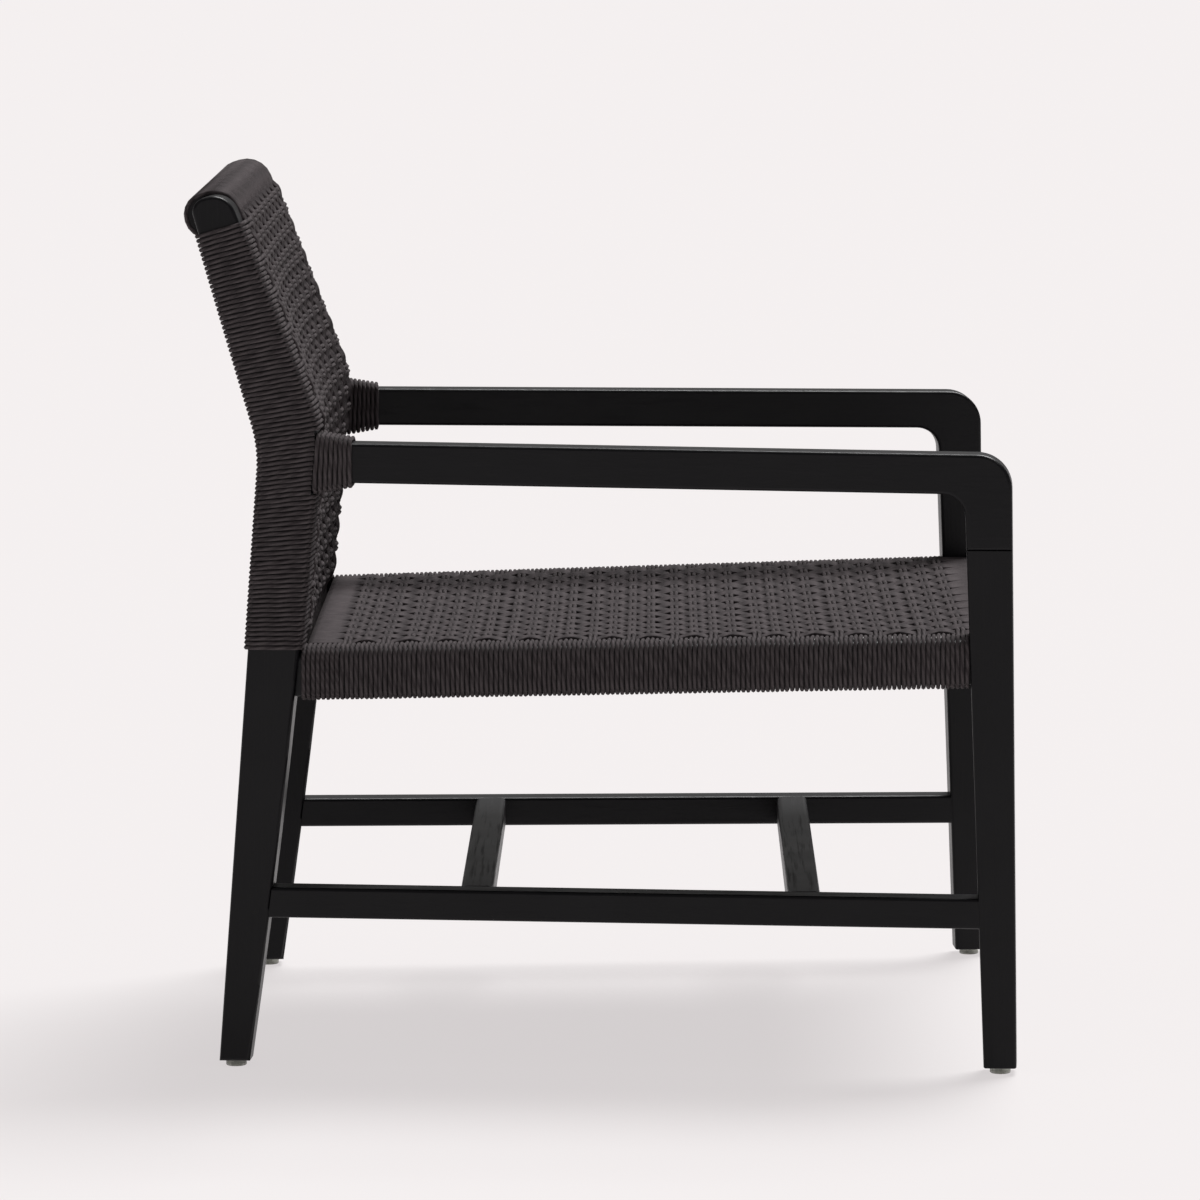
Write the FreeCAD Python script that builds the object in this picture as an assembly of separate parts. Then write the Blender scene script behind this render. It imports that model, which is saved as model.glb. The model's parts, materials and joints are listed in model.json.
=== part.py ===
import FreeCAD, Part
import os
from math import atan2, cos, degrees, radians, sin, tan

# A low armchair: two glued side frames joined by cross rails, with a seat and back woven in cord.
# Millimetres. +X is the sitter's left, -Y the front, +Z up. The origin is on the floor, under the
# middle of the chair. A side frame is drawn in its own plane: y along the frame and z up, with its
# outer face at x = 0 and its inner face at x = -frame_thickness. It is then turned by side_angle
# and set out to the left. The right side is its mirror image.

Vector = FreeCAD.Vector
UP = Vector(0, 0, 1)
ACROSS = Vector(1, 0, 0)
CENTRE = Vector(0, 0, 0)

# Plan: outer widths across the side frames at the front and back ends of the plan
front_width = 645.0
rear_width = 545.0
front_reach = 378.0
rear_reach = 378.0
frame_thickness = 30.0
edge_round = 3.0

# Heights that other pieces follow: top of the posts, of the armrests and of the cord seat
back_height = 804.3
arm_height = 572.2
seat_height = 395.2

# Floor glides and their nails
glide_diameter = 19.0
glide_height = 6.0
glide_edge = 1.2
nail_shank = 3.0
nail_head = 7.0
nail_head_height = 1.2
nail_recess = 1.0
nail_length = 24.0

# Rear post: leg below, reclined back post above, in the frame's (y, z)
post_foot_back = rear_reach - 25.0
post_foot_depth = 28.0
post_leg_bow = 4.6
post_bend_back = (rear_reach - 70.0, arm_height - 1.2)
post_bend_front = (rear_reach - 122.3, arm_height + 16.1)
post_top_back = (rear_reach - 6.3, back_height - 10.8)
post_top_front = (rear_reach - 41.0, back_height)
post_bend_back_radius = 120.0
post_bend_front_radius = 80.0
post_top_back_radius = 13.0
post_top_front_radius = 21.0

# Front leg
leg_foot_inset = 1.0
leg_foot_depth = 30.0
leg_front_rake = 0.0108
leg_rear_rake = 0.0352
leg_top_share = 0.616

# Armrest, with the rounded corner that lands on the front leg
arm_slope = 0.01445
arm_depth = 36.2
arm_corner_radius = 32.0
arm_inner_share = 0.1657
arm_flare = 5.0
arm_flare_length = 27.0

# Seat: fall of the cord surface to the back, and the rails under it
seat_slope = 0.0202
seat_dish = 5.0
rail_depth = 41.5
rail_thickness = 22.0
rail_round = 4.0
side_rail_inset = 6.0
side_rail_thickness = frame_thickness - side_rail_inset
side_rail_taper = 0.0035
side_rail_top_round = 9.0
rear_rail_spacing = 34.4

# Back: lower rail behind the seat, and a crest rail that is flush with the posts in front,
# stands out behind them and is rounded there
back_rail_drop = 3.0
back_rail_depth = 34.0
crest_stand_out = 6.0
crest_depth = 34.0
crest_back_round = 16.5
crest_under_round = 8.0
back_dish = 10.0

# Stretchers and the two bars across them
stretcher_height = 165.0
stretcher_slope = 0.0082
stretcher_depth = 28.0
stretcher_inset = 1.0
crossbar_width = 30.0
crossbar_depth = 26.0
crossbar_round = 5.0
front_crossbar_y = -184.0
rear_crossbar_y = 115.0

# Dowels: glued joints
dowel_diameter = 8.0
dowel_length = 32.0
dowel_fit = 0.05
dowel_end_gap = 1.0
arm_dowel_spacing = 18.0
rail_dowel_spacing = 27.0
cross_rail_dowel_spacing = 10.0
back_rail_dowel_spacing = 10.0
stretcher_dowel_spacing = 13.0
crest_dowel_spacing = 14.0

# Cord work
cord_diameter = 4.0
cord_gap = 0.2
weave_thickness = 9.0
post_wrap_drop = 36.3

# Worked out from the values above
REACH = 1200.0
side_angle = atan2((front_width - rear_width) / 2, front_reach + rear_reach)
mid_offset = (rear_width + (front_width - rear_width) * rear_reach / (front_reach + rear_reach)) / 2
post_foot_front = post_foot_back - post_foot_depth
post_wrap_top = back_height - post_wrap_drop
leg_foot_front = leg_foot_inset - front_reach
leg_foot_back = leg_foot_front + leg_foot_depth
wrap_out = cord_diameter
wrap_in = frame_thickness + cord_diameter
recline = atan2(post_top_back[0] - post_bend_back[0], post_top_back[1] - post_bend_back[1])


def seat_top(y):
    """Height of the top of the seat cord at y, at the rails."""
    return seat_height - seat_slope * y


def rail_top(y):
    """Height of the wood of a seat rail at y, one cord below the seat's surface."""
    return seat_top(y) - cord_diameter


def arm_top(y):
    return arm_height + arm_slope * y


# The leg's top and the round under the arm share the free height between seat rail and arm
free_height = arm_top(leg_foot_back) - arm_depth - rail_top(leg_foot_back)
leg_top_height = rail_top(leg_foot_back) + leg_top_share * free_height
arm_inner_radius = arm_inner_share * free_height


def stretcher_top(y):
    return stretcher_height + stretcher_slope * y


def leg_front(z):
    return leg_foot_front + leg_front_rake * (z - glide_height)


def leg_back(z):
    return leg_foot_back + leg_rear_rake * (z - glide_height)


def post_front(z):
    """Front edge of the post at height z, leaving out the bow of its leg."""
    lean = (post_top_front[0] - post_bend_front[0]) / (post_top_front[1] - post_bend_front[1])
    if z >= post_bend_front[1]:
        return post_bend_front[0] + lean * (z - post_bend_front[1])
    fall = (post_foot_front - post_bend_front[0]) / (post_bend_front[1] - glide_height)
    return post_bend_front[0] + fall * (post_bend_front[1] - z)


def half_width(y, inset):
    """Distance from the middle plane to a face that lies inset inside the side frame's outer face."""
    return mid_offset - y * tan(side_angle) - inset / cos(side_angle)


def to_side(shape):
    """Turn a shape drawn in the frame's plane to its place on the left side."""
    placed = shape.copy()
    placed.rotate(CENTRE, UP, degrees(side_angle))
    placed.translate(Vector(mid_offset, 0, 0))
    return placed


def mirrored(shape):
    return shape.mirror(CENTRE, ACROSS)


def plate(points, x_near, x_far):
    """Prism with an outline of (y, z) points, from x_near to x_far."""
    corners = [Vector(x_far, y, z) for y, z in points]
    outline = Part.makePolygon(corners + corners[:1])
    return Part.Face(outline).extrude(Vector(x_near - x_far, 0, 0))


def block(x0, x1, y0, y1, z0, z1):
    return Part.makeBox(x1 - x0, y1 - y0, z1 - z0, Vector(x0, y0, z0))


def round_edges(solid, radius, wanted):
    """Round the solid's edges for which wanted(box of the edge) is true."""
    edges = [edge for edge in solid.Edges if wanted(edge.BoundBox)]
    return solid.makeFillet(radius, edges)


def across_at(y, z, reach=2.0):
    """Test for the edge that runs across the frame near (y, z)."""
    def wanted(box):
        near = abs(box.Center.y - y) < reach and abs(box.Center.z - z) < reach
        return near and box.YLength < reach and box.ZLength < reach
    return wanted


def on_frame_face(x):
    """Test for an edge that lies in the plane x."""
    def wanted(box):
        return abs(box.XMin - x) < 0.01 and abs(box.XMax - x) < 0.01
    return wanted


def ease_outline(solid, x_near, x_far):
    """Round the outline edges on both faces of a plate."""
    eased = round_edges(solid, edge_round, on_frame_face(x_near))
    return round_edges(eased, edge_round, on_frame_face(x_far))


def dowel(centre, direction):
    """Dowel with its middle at centre, where the two pieces meet."""
    start = centre - direction * (dowel_length / 2)
    return Part.makeCylinder(dowel_diameter / 2, dowel_length, start, direction)


def dowel_hole(centre, direction):
    length = dowel_length + 2 * dowel_end_gap
    start = centre - direction * (length / 2)
    return Part.makeCylinder(dowel_diameter / 2 + dowel_fit, length, start, direction)


def pair(centre, offset):
    return [centre + offset * 0.5, centre - offset * 0.5]


# ---------------------------------------------------------------- side frame, in its own plane

def post_outline(grow):
    """Outline of the rear post, grown outwards by grow, with its leg's front edge bowed."""
    foot_front = Vector(0, post_foot_front - grow, glide_height)
    foot_back = Vector(0, post_foot_back + grow, glide_height)
    lower = atan2(post_foot_back - post_bend_back[0], post_bend_back[1] - glide_height)
    back_turn = (recline + lower) / 2
    front_lean = atan2(post_top_front[0] - post_bend_front[0], post_top_front[1] - post_bend_front[1])
    front_turn = (front_lean + lower) / 2
    top_lean = (recline + front_lean) / 2
    bend_back = Vector(0, post_bend_back[0] + grow, post_bend_back[1] - grow * tan(back_turn - lower))
    bend_front = Vector(0, post_bend_front[0] - grow, post_bend_front[1] + grow * tan(front_turn - lower))
    rise_y = grow * sin(top_lean)
    rise_z = grow * cos(top_lean)
    top_back = Vector(0, post_top_back[0] + grow * cos(top_lean) + rise_y,
                      post_top_back[1] - grow * sin(top_lean) + rise_z)
    top_front = Vector(0, post_top_front[0] - grow * cos(top_lean) + rise_y,
                       post_top_front[1] + grow * sin(top_lean) + rise_z)
    middle = (foot_front + bend_front) * 0.5 - Vector(0, post_leg_bow, 0)
    bowed = Part.Arc(bend_front, middle, foot_front).toShape()
    straight = [Part.makeLine(a, b) for a, b in (
        (foot_front, foot_back), (foot_back, bend_back), (bend_back, top_back),
        (top_back, top_front), (top_front, bend_front))]
    corners = (bend_back, bend_front, top_back, top_front)
    return Part.Wire(straight + [bowed]), corners


def post_prism(grow, x_near, x_far):
    outline, corners = post_outline(grow)
    face = Part.Face(outline)
    face.translate(Vector(x_far, 0, 0))
    prism = face.extrude(Vector(x_near - x_far, 0, 0))
    radii = (post_bend_back_radius, post_bend_front_radius,
             post_top_back_radius + grow, post_top_front_radius + grow)
    for corner, radius in zip(corners, radii):
        prism = round_edges(prism, radius, across_at(corner.y, corner.z))
    return prism


def rear_post():
    return ease_outline(post_prism(0.0, 0.0, -frame_thickness), 0.0, -frame_thickness)


def front_leg():
    points = [(leg_foot_front, glide_height), (leg_foot_back, glide_height),
              (leg_back(leg_top_height), leg_top_height), (leg_front(leg_top_height), leg_top_height)]
    leg = plate(points, 0.0, -frame_thickness)
    long_edges = round_edges(leg, edge_round, lambda box: box.ZLength > 100)
    return round_edges(long_edges, edge_round / 2, lambda box: box.ZMax < glide_height + 0.1)


def armrest(post):
    back = post_bend_back[0]
    butt = post_bend_front[0]
    flare_start = butt - arm_flare_length
    corner_top = arm_top(leg_foot_front)
    under = arm_top(leg_foot_back) - arm_depth
    points = [(leg_front(leg_top_height), leg_top_height), (leg_front(corner_top), corner_top),
              (flare_start, arm_top(flare_start)), (butt, arm_top(butt) + arm_flare),
              (back, arm_top(butt) + arm_flare), (back, arm_top(butt) - arm_depth - arm_flare),
              (butt, arm_top(butt) - arm_depth - arm_flare),
              (flare_start, arm_top(flare_start) - arm_depth),
              (leg_back(under), under), (leg_back(leg_top_height), leg_top_height)]
    arm = plate(points, 0.0, -frame_thickness)
    arm = round_edges(arm, arm_corner_radius, across_at(leg_front(corner_top), corner_top))
    arm = round_edges(arm, arm_inner_radius, across_at(leg_back(under), under))
    arm = ease_outline(arm, 0.0, -frame_thickness)
    arm = arm.cut(post)
    return max(arm.Solids, key=lambda solid: solid.Volume)


def between_post_and_leg(solid, post, leg):
    """Keep the stretch of a long bar between the post's front face and the leg's rear face."""
    parts = solid.cut(post).cut(leg).Solids
    return max(parts, key=lambda part: part.Volume)


def side_rail_section(grow):
    """Long bar of the seat's side rail, grown outwards by grow."""
    front = leg_foot_front
    back = post_foot_back
    near = -side_rail_inset + grow
    far = -side_rail_inset - side_rail_thickness - grow

    def low(y):
        return rail_top(y) - rail_depth - side_rail_taper * y

    points = [(front, rail_top(front) + grow), (back, rail_top(back) + grow),
              (back, low(back) - grow), (front, low(front) - grow)]
    bar = plate(points, near, far)
    top_outer = round_edges(bar, side_rail_top_round + grow,
                            lambda box: box.YLength > 100 and box.XMin > near - 0.1 and box.ZMin > low(front))
    return round_edges(top_outer, edge_round + grow,
                       lambda box: box.YLength > 100 and box.XLength < 0.1 and (
                           box.ZMin < low(front) or box.XMax < far + 0.1))


def side_stretcher():
    front = leg_foot_front
    back = post_foot_back
    points = [(front, stretcher_top(front)), (back, stretcher_top(back)),
              (back, stretcher_top(back) - stretcher_depth), (front, stretcher_top(front) - stretcher_depth)]
    bar = plate(points, -stretcher_inset, stretcher_inset - frame_thickness)
    return round_edges(bar, edge_round, lambda box: box.YLength > 100)


def glide(y):
    disc = Part.makeCylinder(glide_diameter / 2, glide_height, Vector(-frame_thickness / 2, y, 0))
    disc = round_edges(disc, glide_edge, lambda box: box.ZMax < 0.1)
    recess = Part.makeCylinder(nail_head / 2 + dowel_fit, nail_recess + nail_head_height,
                               Vector(-frame_thickness / 2, y, 0))
    return disc.cut(recess).cut(nail_hole(y))


def nail_hole(y):
    return Part.makeCylinder(nail_shank / 2 + dowel_fit, nail_length + dowel_end_gap,
                             Vector(-frame_thickness / 2, y, nail_recess))


def nail(y):
    base = Vector(-frame_thickness / 2, y, nail_recess)
    head = Part.makeCylinder(nail_head / 2, nail_head_height, base)
    return head.fuse(Part.makeCylinder(nail_shank / 2, nail_length, base)).removeSplitter()


# ---------------------------------------------------------------- pieces across the chair

def cross_bar(y, thickness, top, depth, rounding):
    """Long bar across the chair, centred on y, to be cut to length by what it meets."""
    span = front_width
    bar = block(-span / 2, span / 2, y - thickness / 2, y + thickness / 2, top - depth, top)
    return round_edges(bar, rounding, lambda box: box.XLength > 100)


def crest_outline():
    """Corners (y, z) of the crest rail's section: top front, top back, under back, under front."""
    back_way = (cos(recline), -sin(recline))
    top_back = (post_top_back[0] + crest_stand_out * back_way[0],
                post_top_back[1] + crest_stand_out * back_way[1])
    under_back = (top_back[0] - crest_depth * sin(recline), top_back[1] - crest_depth * cos(recline))
    lean = (post_top_front[0] - post_bend_front[0]) / (post_top_front[1] - post_bend_front[1])
    run = (under_back[0] - post_front(under_back[1])) / (back_way[0] - lean * back_way[1])
    under_front = (under_back[0] - run * back_way[0], under_back[1] - run * back_way[1])
    return [post_top_front, top_back, under_back, under_front]


def grown(points, grow):
    """Outline of (y, z) points, drawn clockwise, with each side moved outwards by grow."""
    corners = [Vector(0, y, z) for y, z in points]
    moved = []
    for before, here, after in zip(corners[-1:] + corners, corners, corners[1:] + corners[:1]):
        into = (here - before).normalize()
        out = (after - here).normalize()
        normals = Vector(0, -into.z - out.z, into.y + out.y)
        corner = here + normals * (grow / (1 + into.dot(out)))
        moved.append((corner.y, corner.z))
    return moved


def crest_bar(grow):
    """Long bar of the crest rail, grown outwards by grow."""
    points = grown(crest_outline(), grow)
    bar = plate(points, front_width / 2, -front_width / 2)
    radii = (post_top_front_radius, crest_back_round, crest_back_round, crest_under_round)
    for (y, z), radius in zip(points, radii):
        corner = (y, z)
        bar = round_edges(bar, radius + grow, lambda box: box.XLength > 100 and abs(
            box.Center.y - corner[0]) < 0.01 and abs(box.Center.z - corner[1]) < 0.01)
    return bar


def inside_frames(inset):
    """Block that fills the space between the side frames, inset inside their outer faces."""
    corners = [Vector(side * half_width(y, inset), y, 0)
               for side, y in ((-1, -REACH / 2), (1, -REACH / 2), (1, REACH / 2), (-1, REACH / 2))]
    return Part.Face(Part.makePolygon(corners + corners[:1])).extrude(UP * REACH)


def dished_section(half, centre, depth_axis, thickness, dish, height_axis):
    """Closed section of a woven panel: both faces sag by dish in the middle."""
    left = centre - ACROSS * half
    right = centre + ACROSS * half
    under = height_axis * thickness
    sag = depth_axis * dish
    face = Part.Arc(left, centre + sag, right).toShape()
    rear = Part.Arc(right + under, centre + sag + under, left + under).toShape()
    return Part.Wire([face, Part.makeLine(right, right + under), rear, Part.makeLine(left + under, left)])


def seat_weave():
    """Woven panel between the wrapped front and rear rails."""
    down = Vector(0, 0, -1)
    start = front_rail_y + rail_thickness / 2 + cord_diameter + cord_gap
    end = rear_rail_y - rail_thickness / 2 - cord_diameter - cord_gap
    sections = []
    for y in (start, end):
        half = half_width(y, wrap_in + cord_gap)
        centre = Vector(0, y, seat_top(y))
        sections.append(dished_section(half, centre, down, weave_thickness, seat_dish, down))
    return Part.makeLoft(sections, True, True)


def back_weave():
    """Woven panel from the lower back rail to the crest."""
    backward = Vector(0, 1, 0)
    bottom = back_rail_top + cord_diameter + cord_gap
    top = crest_outline()[-1][1] - 2 * cord_diameter - cord_gap
    sections = []
    for z, dish in ((bottom, back_dish / 2), (post_bend_front[1], back_dish),
                    ((post_bend_front[1] + top) / 2, back_dish), (top, back_dish / 5)):
        y = post_front(z) - cord_diameter
        half = half_width(y + weave_thickness + dish, wrap_in + cord_gap)
        centre = Vector(0, y, z)
        sections.append(dished_section(half, centre, backward, weave_thickness, dish, backward))
    return Part.makeLoft(sections, True, True)


def post_wrap_window():
    """Slab in the frame's plane that holds the wrapped stretch of the post."""
    low = rail_top(post_bend_front[0]) + cord_gap
    lift = tan(recline)
    mid = (post_top_back[0] + post_top_front[0]) / 2
    points = [(0.0, low), (REACH, low), (REACH, post_wrap_top - (REACH - mid) * lift),
              (0.0, post_wrap_top + mid * lift)]
    return plate(points, REACH / 2, -REACH / 2)


# ---------------------------------------------------------------- build

# The front rail's cord is flush with the legs, the lower back rail's with the posts' front edges
front_rail_y = leg_front(seat_height) + cord_diameter + rail_thickness / 2
back_rail_top = rail_top(post_bend_front[0]) - back_rail_drop
back_rail_y = post_front(back_rail_top - back_rail_depth) - post_leg_bow + rail_thickness / 2
rear_rail_y = back_rail_y - rear_rail_spacing

post = rear_post()
leg = front_leg()
arm = armrest(post)
side_rail = between_post_and_leg(side_rail_section(0.0), post, leg)
stretcher = between_post_and_leg(side_stretcher(), post, leg)
along = Vector(0, 1, 0)
rail_mid_x = -side_rail_inset - side_rail_thickness / 2
stretcher_mid_x = -frame_thickness / 2

frame_joints = {"arm": [], "seat": [], "stretcher": []}
arm_mid = arm_top(post_bend_front[0]) - arm_depth / 2
arm_butt = Vector(-frame_thickness / 2, post_front(arm_mid), arm_mid)
frame_joints["arm"] += [(centre, along) for centre in pair(arm_butt, UP * arm_dowel_spacing)]
leg_top_mid = (leg_front(leg_top_height) + leg_back(leg_top_height)) / 2
leg_top = Vector(-frame_thickness / 2, leg_top_mid, leg_top_height)
frame_joints["arm"] += [(centre, UP) for centre in pair(leg_top, along * arm_dowel_spacing)]
for end_y in (side_rail.BoundBox.YMin, side_rail.BoundBox.YMax):
    middle = Vector(rail_mid_x, end_y, rail_top(end_y) - rail_depth / 2)
    frame_joints["seat"] += [(centre, along) for centre in pair(middle, UP * rail_dowel_spacing)]
for end_y in (stretcher.BoundBox.YMin, stretcher.BoundBox.YMax):
    middle = Vector(stretcher_mid_x, end_y, stretcher_top(end_y) - stretcher_depth / 2)
    frame_joints["stretcher"] += [(centre, along) for centre in pair(middle, UP * stretcher_dowel_spacing)]

rear_glide_y = post_foot_back - post_foot_depth / 2
front_glide_y = leg_foot_front + leg_foot_depth / 2
for joints in frame_joints.values():
    for centre, direction in joints:
        hole = dowel_hole(centre, direction)
        post = post.cut(hole)
        leg = leg.cut(hole)
        arm = arm.cut(hole)
        side_rail = side_rail.cut(hole)
        stretcher = stretcher.cut(hole)
post = post.cut(nail_hole(rear_glide_y))
leg = leg.cut(nail_hole(front_glide_y))

left_post = to_side(post)
left_leg = to_side(leg)
left_stretcher = to_side(stretcher)

front_rail = cross_bar(front_rail_y, rail_thickness, rail_top(front_rail_y), rail_depth, rail_round)
front_rail = front_rail.common(inside_frames(frame_thickness))
rear_rail = cross_bar(rear_rail_y, rail_thickness, rail_top(rear_rail_y), rail_depth, rail_round)
rear_rail = rear_rail.common(inside_frames(side_rail_inset + side_rail_thickness))
back_rail = cross_bar(back_rail_y, rail_thickness, back_rail_top, back_rail_depth, rail_round)
back_rail = back_rail.common(inside_frames(frame_thickness))
crest_rail = crest_bar(0.0).common(inside_frames(frame_thickness))
between_stretchers = inside_frames(frame_thickness - stretcher_inset)
crossbars = []
for bar_y in (front_crossbar_y, rear_crossbar_y):
    bar = cross_bar(bar_y, crossbar_width, stretcher_top(bar_y), crossbar_depth, crossbar_round)
    crossbars.append(bar.common(between_stretchers))

cross_joints = {"seat": [], "back": [], "crossbar": []}
for rail, joint, offset in ((front_rail, "seat", UP * cross_rail_dowel_spacing),
                            (rear_rail, "seat", UP * cross_rail_dowel_spacing),
                            (back_rail, "back", along * back_rail_dowel_spacing)):
    middle = Vector(rail.BoundBox.XMax, rail.BoundBox.Center.y, rail.BoundBox.Center.z)
    cross_joints[joint] += [(centre, ACROSS) for centre in pair(middle, offset)]
crest_corners = crest_outline()
crest_end = Vector(crest_rail.BoundBox.XMax, (crest_corners[0][0] + crest_corners[2][0]) / 2,
                   (crest_corners[0][1] + crest_corners[2][1]) / 2)
crest_lean = Vector(0, sin(recline), cos(recline))
cross_joints["back"] += [(centre, ACROSS) for centre in pair(crest_end, crest_lean * crest_dowel_spacing)]
for bar in crossbars:
    middle = Vector(bar.BoundBox.XMax, bar.BoundBox.Center.y, bar.BoundBox.Center.z)
    cross_joints["crossbar"] += [(centre, ACROSS)
                                 for centre in pair(middle, UP * stretcher_dowel_spacing)]


def drilled(shape, joints):
    """Cut the dowel holes of both sides of the chair from a shape."""
    for centre, direction in joints:
        hole = dowel_hole(centre, direction)
        shape = shape.cut(hole).cut(mirrored(hole))
    return shape


seat_and_back = cross_joints["seat"] + cross_joints["back"]
left_post = drilled(left_post, seat_and_back)
left_leg = drilled(left_leg, seat_and_back)
left_stretcher = drilled(left_stretcher, cross_joints["crossbar"])
left_side_rail = drilled(to_side(side_rail), seat_and_back)
front_rail, rear_rail, back_rail, crest_rail = [
    drilled(rail, seat_and_back) for rail in (front_rail, rear_rail, back_rail, crest_rail)]
crossbars = [drilled(bar, cross_joints["crossbar"]) for bar in crossbars]


def frame_dowels(joint):
    """Dowels of one kind of side frame joint, on both sides."""
    left = [to_side(dowel(centre, direction)) for centre, direction in frame_joints[joint]]
    return left + [mirrored(peg) for peg in left]


def cross_dowels(joint):
    left = [dowel(centre, direction) for centre, direction in cross_joints[joint]]
    return left + [mirrored(peg) for peg in left]


# Cord layers, drawn round the wood with a small gap

def through_frame(points, grow=0.0):
    """Plate much wider than the frame, to cut what passes a face of the post or leg."""
    return plate([(y + grow, z) for y, z in points], REACH / 2, -REACH / 2)


def post_wrap():
    layer = post_prism(cord_diameter, wrap_out, -wrap_in)
    layer = layer.cut(post_prism(cord_gap, cord_gap, -frame_thickness - cord_gap))
    layer = layer.common(post_wrap_window())
    arm_half = arm_depth / 2 + arm_flare + cord_gap
    layer = layer.cut(block(-frame_thickness - cord_gap, cord_gap, 0.0, post_bend_back[0] - wrap_in / 2,
                            arm_mid - arm_half, arm_mid + arm_half))
    placed = to_side(layer)
    roll = crest_bar(cord_diameter + cord_gap).common(inside_frames(frame_thickness))
    rail = cross_bar(back_rail_y, rail_thickness + 2 * cord_gap, back_rail_top + cord_gap,
                     back_rail_depth + 2 * cord_gap, rail_round + cord_gap)
    return placed.cut(roll).cut(rail.common(inside_frames(frame_thickness)))


def arm_wrap():
    """Turns of cord round the arm where it meets the post."""
    butt = post_bend_front[0]
    start = butt - arm_flare_length

    def sheath(grow):
        back = post_bend_back[0]
        points = [(start, arm_top(start) + grow), (butt, arm_top(butt) + arm_flare + grow),
                  (back, arm_top(butt) + arm_flare + grow),
                  (back, arm_top(butt) - arm_depth - arm_flare - grow),
                  (butt, arm_top(butt) - arm_depth - arm_flare - grow),
                  (start, arm_top(start) - arm_depth - grow)]
        solid = plate(points, grow, -frame_thickness - grow)
        return round_edges(solid, edge_round + grow / 2, lambda box: box.XLength < 0.1 and box.YLength > 15)

    layer = sheath(cord_diameter).cut(sheath(cord_gap))
    post_side = post_prism(cord_diameter + cord_gap, REACH / 2, -REACH / 2)
    return to_side(layer.cut(post_side))


def side_rail_wrap():
    layer = side_rail_section(cord_diameter).cut(side_rail_section(cord_gap))
    layer = layer.cut(post_prism(cord_diameter + cord_gap, REACH / 2, -REACH / 2))
    leg_side = through_frame([(-REACH, 0.0), (leg_back(0.0), 0.0), (leg_back(REACH), REACH), (-REACH, REACH)],
                             cord_gap)
    pieces = layer.cut(leg_side).Solids
    placed = to_side(max(pieces, key=lambda solid: solid.Volume))
    rail = cross_bar(rear_rail_y, rail_thickness + 2 * cord_gap, rail_top(rear_rail_y) + cord_gap,
                     rail_depth + 2 * cord_gap, rail_round + cord_gap)
    return placed.cut(rail.common(inside_frames(side_rail_inset + side_rail_thickness)))


def rail_wrap(y, top, depth, inset):
    """Cord wound round a cross rail, between the side frames."""
    outer = cross_bar(y, rail_thickness + 2 * cord_diameter, top + cord_diameter,
                      depth + 2 * cord_diameter, rail_round + cord_diameter)
    inner = cross_bar(y, rail_thickness + 2 * cord_gap, top + cord_gap,
                      depth + 2 * cord_gap, rail_round + cord_gap)
    return outer.cut(inner).common(inside_frames(inset + cord_gap))


def crest_wrap():
    tube = crest_bar(cord_diameter).cut(crest_bar(cord_gap))
    return tube.common(inside_frames(frame_thickness + cord_gap))


parts = {
    "front_seat_rail": front_rail,
    "rear_seat_rail": rear_rail,
    "lower_back_rail": back_rail,
    "crest_rail": crest_rail,
    "front_crossbar": crossbars[0],
    "rear_crossbar": crossbars[1],
    "front_rail_wrap": rail_wrap(front_rail_y, rail_top(front_rail_y), rail_depth, frame_thickness),
    "rear_rail_wrap": rail_wrap(rear_rail_y, rail_top(rear_rail_y), rail_depth, wrap_in),
    "lower_back_rail_wrap": rail_wrap(back_rail_y, back_rail_top, back_rail_depth, wrap_in),
    "crest_wrap": crest_wrap(),
    "seat_weave": seat_weave(),
    "back_weave": back_weave(),
}
left_parts = {
    "rear_post": left_post,
    "front_leg": left_leg,
    "armrest": to_side(arm),
    "seat_side_rail": left_side_rail,
    "side_stretcher": left_stretcher,
    "rear_glide": to_side(glide(rear_glide_y)),
    "front_glide": to_side(glide(front_glide_y)),
    "post_wrap": post_wrap(),
    "arm_wrap": arm_wrap(),
    "side_rail_wrap": side_rail_wrap(),
}
for name, shape in left_parts.items():
    parts[name + "_left"] = shape
    parts[name + "_right"] = mirrored(shape)

nails = [to_side(nail(y)) for y in (rear_glide_y, front_glide_y)]
groups = {
    "arm_dowels": frame_dowels("arm"),
    "seat_rail_dowels": frame_dowels("seat") + cross_dowels("seat"),
    "back_rail_dowels": cross_dowels("back"),
    "stretcher_dowels": frame_dowels("stretcher"),
    "crossbar_dowels": cross_dowels("crossbar"),
    "glide_nails": nails + [mirrored(piece) for piece in nails],
}
for name, solids in groups.items():
    parts[name] = Part.makeCompound(solids)

os.makedirs("parts", exist_ok=True)
for name, shape in parts.items():
    shape.exportStep("parts/" + name + ".step")
    print(f"{name}: {len(shape.Solids)} solid(s), {shape.Volume / 1000:.1f} cm3, valid {shape.isValid()}")
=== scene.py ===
"""Low armchair: finish of the black wood, and all the cord work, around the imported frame.

Metres. +X is the sitter's left, -Y the front, +Z up. A side frame is drawn in its own plane, as in
the workshop: x out from its outer face, y along it and z up. in_frame() then sets it in the chair.
"""
import json
from math import atan2, cos, floor, pi, radians, sin, tan, tanh
from random import Random

import bpy
from mathutils import Matrix, Vector


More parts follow.
